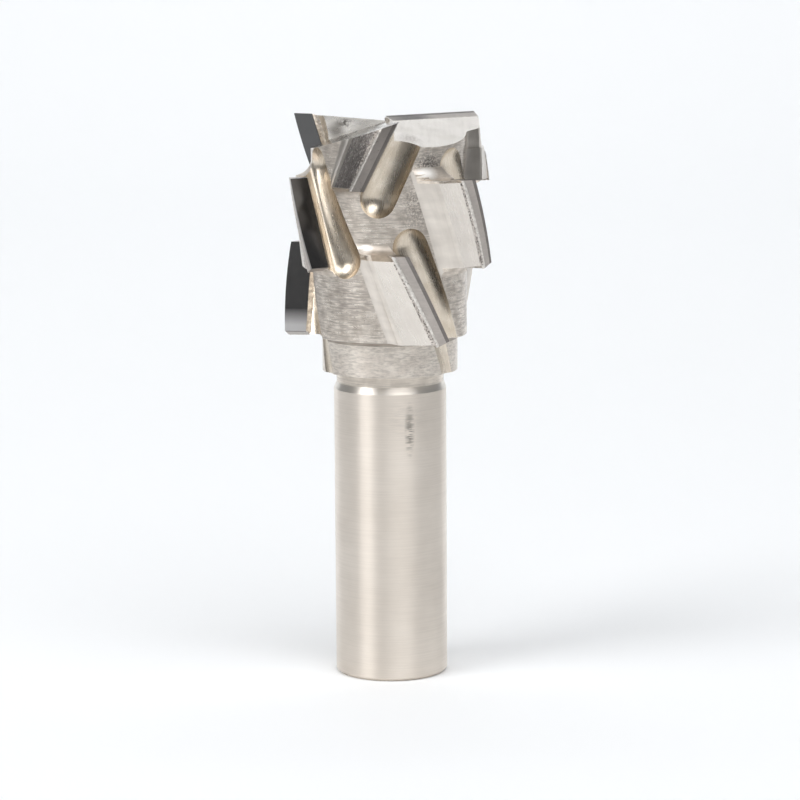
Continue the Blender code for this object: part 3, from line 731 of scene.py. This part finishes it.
class Body:
    # The merged solid in mm: points, each face's three corners and look, and each corner's normal
    # and place for the cutter marks
    def __init__(self, mesh):
        points = np.empty(len(mesh.vertices) * 3)
        mesh.vertices.foreach_get("co", points)
        corners = np.empty(len(mesh.loops), int)
        mesh.loops.foreach_get("vertex_index", corners)
        self.mesh = mesh
        self.points = points.reshape(-1, 3) / mm
        self.corners = corners.reshape(-1, 3)
        self.trio = self.points[self.corners]
        self.faceNormal = unit(np.cross(self.trio[:, 1] - self.trio[:, 0],
                                        self.trio[:, 2] - self.trio[:, 0]))
        self.names = list(bodyLooks)
        self.look = np.full(len(self.corners), -1)
        self.normals = np.repeat(self.faceNormal[:, None], 3, 1)
        self.runs = aroundAndUp(self.points)[self.corners]

    def fitSurfaces(self):
        # Each face takes the nearest surface that it faces along with. Hollows meet in corners that
        # the solid only follows roughly, so a second pass gives them more room.
        best = np.full(len(self.corners), bodyFit["fit"])
        turn = math.cos(math.radians(bodyFit["turn"]))
        found = [(name, surface(self.points)) for name, surface in bodySurfaces()]
        for rough in (False, True):
            if rough:
                free = self.look < 0
                best[free] = bodyFit["hollowFit"]
            for name, (away, normal, run) in found:
                cornerNormal = normal[self.corners]
                agree = dot(unit(cornerNormal.mean(1)), self.faceNormal)
                worst = away[self.corners].max(1) + bodyFit["turnCost"] * (1.0 - agree)
                better = (agree > turn) & (worst < best)
                if rough:
                    better &= free & (name == "fillet")
                best[better] = worst[better]
                self.look[better] = self.names.index(name)
                self.normals[better] = cornerNormal[better]
                self.runs[better] = run[self.corners][better]

    def fitSlopes(self):
        # A land's drop to its ledge is one smooth slope round the axis
        slack = bodyFit["slopeSlack"]
        z = self.trio[:, :, 2]
        for row in rows.values():
            for low, high in ((row["land"][1], row["ledge"][1]), (row["ledge"][0], row["land"][0])):
                within = ((z > low - slack) & (z < high + slack)).all(1)
                level = np.abs(self.faceNormal[:, 2]) > bodyFit["slopeLevel"]
                slope = (self.look < 0) & within & level
                if not slope.any():
                    continue
                rise = float(np.median(self.faceNormal[slope, 2]))
                across = math.sqrt(1.0 - rise * rise)
                self.look[slope] = self.names.index("ledge")
                normal = radialNormal(self.points) * across + up * rise
                self.normals[slope] = normal[self.corners[slope]]

    def fitLips(self):
        # The wall under a tip's inner edge runs on into the gullet
        for name in rows:
            for index in range(tipsPerRow):
                tooth = makeTooth(name, index)
                ahead = dot(self.points - up * tooth.height, tooth.front)[self.corners]
                onWall = (np.abs(ahead + tool["seatLip"]) < bodyFit["lipSlack"]).all(1)
                wall = (self.look < 0) & onWall
                away, hollow, run = gulletSurface(rows[name], index)(self.points)
                share = np.clip(1.0 - away / bodyFit["wallBlend"], 0.0, 1.0)[:, None]
                normal = unit(tooth.front * (1.0 - share) + hollow * share)
                self.look[wall] = self.names.index("gullet")
                self.normals[wall] = normal[self.corners[wall]]
                self.runs[wall] = run[self.corners[wall]]

    def fitFlats(self):
        # What is left is plane: the end's relief planes, the wall at its middle, and the seats
        left = self.look < 0
        high = self.trio[:, :, 2].mean(1) > tool["top"] - bodyFit["endDepth"]
        level = self.faceNormal[:, 2] > bodyFit["endLevel"]
        inLine = dot(self.faceNormal, forward(endPlate["wall"])) > bodyFit["wallInLine"]
        self.look[left & level & high] = self.names.index("relief")
        self.look[left & inLine & high] = self.names.index("endWall")
        self.look[self.look < 0] = self.names.index("seat")

    def write(self):
        for name in self.names:
            self.mesh.materials.append(bodyLooks[name])
        self.mesh.polygons.foreach_set("material_index", self.look.astype(np.int32))
        self.mesh.uv_layers.new(name="run").data.foreach_set("uv", (self.runs * mm).ravel())
        self.mesh.shade_smooth()
        self.mesh.normals_split_custom_set(self.normals.reshape(-1, 3))


def makeBody():
    body = Body(mergedCopy("body", "milled body"))
    body.fitSurfaces()
    body.fitSlopes()
    body.fitLips()
    body.fitFlats()
    body.write()
    piece = addObject("milledBody", body.mesh)
    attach(piece, "root")
    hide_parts("body")
    counts = {name: int((body.look == i).sum()) for i, name in enumerate(body.names)}
    print("milled body:", len(body.corners), "faces", counts)


makeBody()


# Tips: a thin dark diamond layer on a grey carbide back
def reliefTop(plane, r, w, azimuth, dish):
    # Where the line along the edge from (w, r) meets the end's relief plane
    slope = math.tan(math.radians(endPlate["relief"]))

    def over(s):
        p = plane.place(w, r, s)
        along = dot(p, outward(azimuth))
        behind = -dot(p, forward(azimuth))
        return p[..., 2] - (tool["top"] - dish + dish * along / tool["cutRadius"] - slope * behind)
    start, step = over(np.zeros_like(r)), over(np.ones_like(r))
    return -start / (step - start)


def carryProfile(name, points, caps, materials, faceMaterial):
    # Closed rings of points, (ring, around, xyz), joined up and capped at both ends. Edges that
    # turn more than the sharp angle keep a hard rim.
    sharp = math.radians(25.0)
    rings, around = points.shape[:2]
    i = np.arange(around)
    start = np.arange(rings - 1)[:, None] * around
    sides = np.stack([start + i, start + (i + 1) % around, start + around + (i + 1) % around,
                      start + around + i], -1).reshape(-1, 4)
    mesh = bpy.data.meshes.new(name)
    mesh.from_pydata(points.reshape(-1, 3) * mm, [], sides.tolist() + caps)
    for surface in materials:
        mesh.materials.append(surface)
    mesh.polygons.foreach_set("material_index", faceMaterial)
    work = bmesh.new()
    work.from_mesh(mesh)
    bmesh.ops.recalc_face_normals(work, faces=work.faces)
    work.to_mesh(mesh)
    work.free()
    mesh.shade_smooth()
    mesh.set_sharp_from_angle(angle=sharp)
    return addObject(name, mesh)


def tipRings(plane, w, radial, heights, relief, squareBottom, steps):
    # Rings of (w, r) points carried up the edge: s = low + t (high - low), r from radial. Under a
    # relief plane the top is found again a few times, because r changes with it.
    low = plane.rise(0.0 if squareBottom else w, heights[0]) + np.zeros(len(w))
    high = plane.rise(w, heights[1]) + np.zeros(len(w))
    t = np.linspace(0.0, 1.0, steps)[:, None]
    r = radial(low + t * (high - low), t)
    if relief:
        for _ in range(4):
            high = reliefTop(plane, r[-1], w, *relief)
            r = radial(low + t * (high - low), t)
    s = low + t * (high - low)
    return plane.place(w, r, s)


def makeTip(name, plane, heights, inner, relief=None, squareBottom=False):
    thick, layer, steps = tipSizes["thickness"], tipSizes["diamond"], tipSizes["steps"]

    def radial(s, t):
        edge = plane.reach(0.0, s[:, 1], tool["cutRadius"])
        back = plane.reach(-thick, s[:, 3], tipBackRadius)
        split = edge + (back - edge) * layer / thick
        flat = np.full_like(edge, inner)
        return np.stack([flat, edge, split, back, flat, flat], -1)
    w = np.array([0.0, 0.0, -layer, -thick, -thick, -layer])
    points = tipRings(plane, w, radial, heights, relief, squareBottom, steps)
    last = (steps - 1) * len(w)
    caps = [(0, 5, 2, 1), (5, 4, 3, 2), (last, last + 1, last + 2, last + 5),
            (last + 5, last + 2, last + 3, last + 4)]
    face, back, edge = 0, 1, 2    # places in the list of materials
    looks = [face, edge, back, back, back, face] * (steps - 1) + [edge, back, edge, back]
    return carryProfile(name, points, caps, [diamond, carbide, diamondEdge], looks)


def wander(t, chance, waves=26):
    # A smooth random line along t, about -1 to 1: a sum of sine waves, the finer ones smaller
    fade, stretch = 0.6, 1.3
    number = np.arange(1, waves + 1)
    size = chance.normal(size=waves) / number ** fade
    phase = chance.uniform(0.0, 2.0 * np.pi, waves)
    line = np.sin(np.pi * stretch * number * t + phase) @ size
    return (line / np.abs(line).max())[:, None]


# The braze's outline round the back of a tip in mm: w behind the rake plane, then how far each
# point stands out from the tip's back or its inner side, and its share of the unevenness
brazeOutline = {
    "steps": 90, "hollow": 0.12, "inside": 0.3, "seed": 11,
    "w": [-2.36, -2.36, -2.33, -2.44, -2.62, -2.84, -3.05, -2.76,
          -2.74, -0.95, -0.97, -0.80, -0.60, -0.36, -0.12, -0.14, -2.30],
    "fromBack": [0.0, -0.4, -0.07, 0.0, -0.04, -0.2, -0.5, -0.6],
    "beadShare": [0.0, 0.0, 0.0, 1.0, 1.0, 0.8, 0.0, 0.0],
    "fromInner": [-0.34, -0.34, -1.10, -0.82, -0.46, -0.20, 0.02, 0.06, 0.06],
    "hollowShare": [0.0, 0.0, 0.6, 1.0, 1.0, 0.7, 0.0, 0.0, 0.0]}


def makeBraze(name, plane, heights, inner, seed, beadSize, relief=None, squareBottom=False):
    # Silver braze: a skin behind and under the tip, a bead at the land and a hollow at the gullet
    names = ("w", "fromBack", "beadShare", "fromInner", "hollowShare")
    w, fromBack, beadShare, fromInner, hollowShare = (np.array(brazeOutline[k]) for k in names)
    steps = brazeOutline["steps"]
    chance = np.random.default_rng(seed)
    t = np.linspace(0.0, 1.0, steps)[:, None]
    bead = beadSize * wander(t, chance)
    hollow = brazeOutline["hollow"] * wander(t, chance)

    def radial(s, t):
        back = plane.reach(-tipSizes["thickness"], s[:, 1], tipBackRadius)[:, None]
        outer = back + fromBack + bead * beadShare
        outer[:, 0] = inner + brazeOutline["inside"]
        return np.concatenate([outer, inner + fromInner + hollow * hollowShare], -1)
    points = tipRings(plane, w, radial, heights, relief, squareBottom, steps)
    around = len(w)
    last = (steps - 1) * around
    caps = [tuple(range(around))[::-1], tuple(range(last, last + around))]
    return carryProfile(name, points, caps, [braze], [0] * (len(points) * around - around + 2))


def edgeAtEnd(index):
    return float(makeTooth("upper", index).edgeAzimuth(tool["top"]))


def makeTips():
    # label, node, rake plane, heights, inner radius, relief plane, square bottom, bead
    plateBottom = tool["top"] - endPlate["height"]
    tips = []
    for name, row in rows.items():
        for index in range(tipsPerRow):
            heights, relief = row["edge"], None
            if (name, index) == shortTooth:
                heights = (row["edge"][0], plateBottom - tool["tipGap"])
            elif name == "upper":
                relief = (edgeAtEnd(index), endPlate["dish"])
            tips.append((f"{name}{index + 1}", f"tip_{name}_{index + 1}", makeTooth(name, index),
                         heights, tool["cutRadius"] - row["depth"], relief, name != "upper",
                         row["bead"]))
    plate = Tooth(endPlate["azimuth"], tool["top"], endPlate["lean"])
    tips.append(("end", "tip_end", plate, (plateBottom, tool["top"]), -endPlate["pastAxis"],
                 (endPlate["azimuth"], 0.0), False, endPlate["bead"]))
    for i, (label, node, plane, heights, inner, relief, square, bead) in enumerate(tips):
        tip = makeTip(label + "Tip", plane, heights, inner, relief, square)
        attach(tip, "root")
        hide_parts(node)
        seam = makeBraze(label + "Braze", plane, heights, inner, brazeOutline["seed"] + i, bead,
                         relief, square)
        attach(seam, "root")
    print("tips and braze:", len(tips), "of each")


makeTips()


# Floor, light and camera
def makeFloor():
    # Pale paper in metres: flat from front to back, then a quarter round up to the wall behind
    sweep = {"front": -1.6, "back": 1.0, "radius": 0.7, "height": 1.6, "halfWidth": 1.7,
             "steps": 25, "colour": (0.925, 0.94, 0.955, 1.0), "roughness": 0.7}
    corner = np.radians(np.linspace(-90.0, 0.0, sweep["steps"]))
    y = np.concatenate([[sweep["front"]], sweep["back"] + sweep["radius"] * np.cos(corner),
                        [sweep["back"] + sweep["radius"]]])
    z = np.concatenate([[0.0], sweep["radius"] * (1.0 + np.sin(corner)), [sweep["height"]]])
    x = np.linspace(-sweep["halfWidth"], sweep["halfWidth"], 5)
    points = np.stack([np.tile(x, len(y)), np.repeat(y, len(x)), np.repeat(z, len(x))], -1)
    i = np.arange(len(y) - 1)[:, None] * len(x) + np.arange(len(x) - 1)
    faces = np.stack([i, i + 1, i + 1 + len(x), i + len(x)], -1).reshape(-1, 4)
    mesh = bpy.data.meshes.new("paperSweep")
    mesh.from_pydata(points, [], faces.tolist())
    mesh.shade_smooth()
    paper = bpy.data.materials.new("pale paper")
    paper.use_nodes = True
    shader = paper.node_tree.nodes["Principled BSDF"]
    shader.inputs["Base Color"].default_value = sweep["colour"]
    shader.inputs["Roughness"].default_value = sweep["roughness"]
    mesh.materials.append(paper)
    addObject("paperSweep", mesh)


# Lights in metres and watts
toolMiddle = (0.0, 0.0, 0.07)
lights = {
    "leftBox": {"place": (-1.08, -0.73, 1.24), "target": toolMiddle,
                "shape": "RECTANGLE", "size": (0.85, 1.3), "power": 15.5},
    "rightUmbrella": {"place": (0.452, -0.928, 1.544), "target": toolMiddle,
                      "shape": "DISK", "size": (1.9, 1.9), "power": 22.0},
    "paperLight": {"place": (0.0, 0.75, 1.5), "target": (0.0, 1.7, 0.35),
                   "shape": "RECTANGLE", "size": (2.2, 0.4), "power": 11.5},
}


def makeLight(name, place, target, shape, size, power):
    lamp = bpy.data.lights.new(name, "AREA")
    lamp.shape = shape
    lamp.size, lamp.size_y = size
    lamp.energy = power
    holder = addObject(name, lamp)
    holder.location = place
    aim = Vector(target) - Vector(place)
    holder.rotation_euler = aim.to_track_quat("-Z", "Y").to_euler()


def makeWorld():
    room = {"colour": (0.93, 0.95, 0.97, 1.0), "strength": 0.16}
    world = bpy.data.worlds.new("studio")
    world.use_nodes = True
    background = world.node_tree.nodes["Background"]
    background.inputs["Color"].default_value = room["colour"]
    background.inputs["Strength"].default_value = room["strength"]
    bpy.context.scene.world = world


def makeCamera():
    # The photo's camera, fitted to the tool's outline: angles in degrees, focal length in pixels
    view = {"place": (0.0, -0.67643, 0.17320), "pitch": 9.393, "yaw": -0.184, "roll": 0.331,
            "focal": 3080.4, "pixels": 800.0, "sensor": 36.0, "near": 0.01, "far": 20.0}
    pitch, yaw, roll = (math.radians(view[k]) for k in ("pitch", "yaw", "roll"))
    ahead = Vector((-math.sin(yaw) * math.cos(pitch), math.cos(yaw) * math.cos(pitch),
                    -math.sin(pitch)))
    right = Vector((math.cos(yaw), math.sin(yaw), 0.0))
    above = right.cross(ahead)
    turnedRight = right * math.cos(roll) - above * math.sin(roll)
    turnedUp = right * math.sin(roll) + above * math.cos(roll)
    lens = bpy.data.cameras.new("camera")
    lens.sensor_width = view["sensor"]
    lens.lens = view["sensor"] * view["focal"] / view["pixels"]
    lens.clip_start = view["near"]
    lens.clip_end = view["far"]
    camera = addObject("camera", lens)
    turn = Matrix((turnedRight, turnedUp, -ahead)).transposed().to_4x4()
    camera.matrix_world = Matrix.Translation(Vector(view["place"])) @ turn
    bpy.context.scene.camera = camera


makeFloor()
makeWorld()
for name, settings in lights.items():
    makeLight(name, **settings)
makeCamera()
bpy.context.scene.view_settings.view_transform = "Standard"
bpy.context.view_layer.update()
print("floor, lights and camera made")
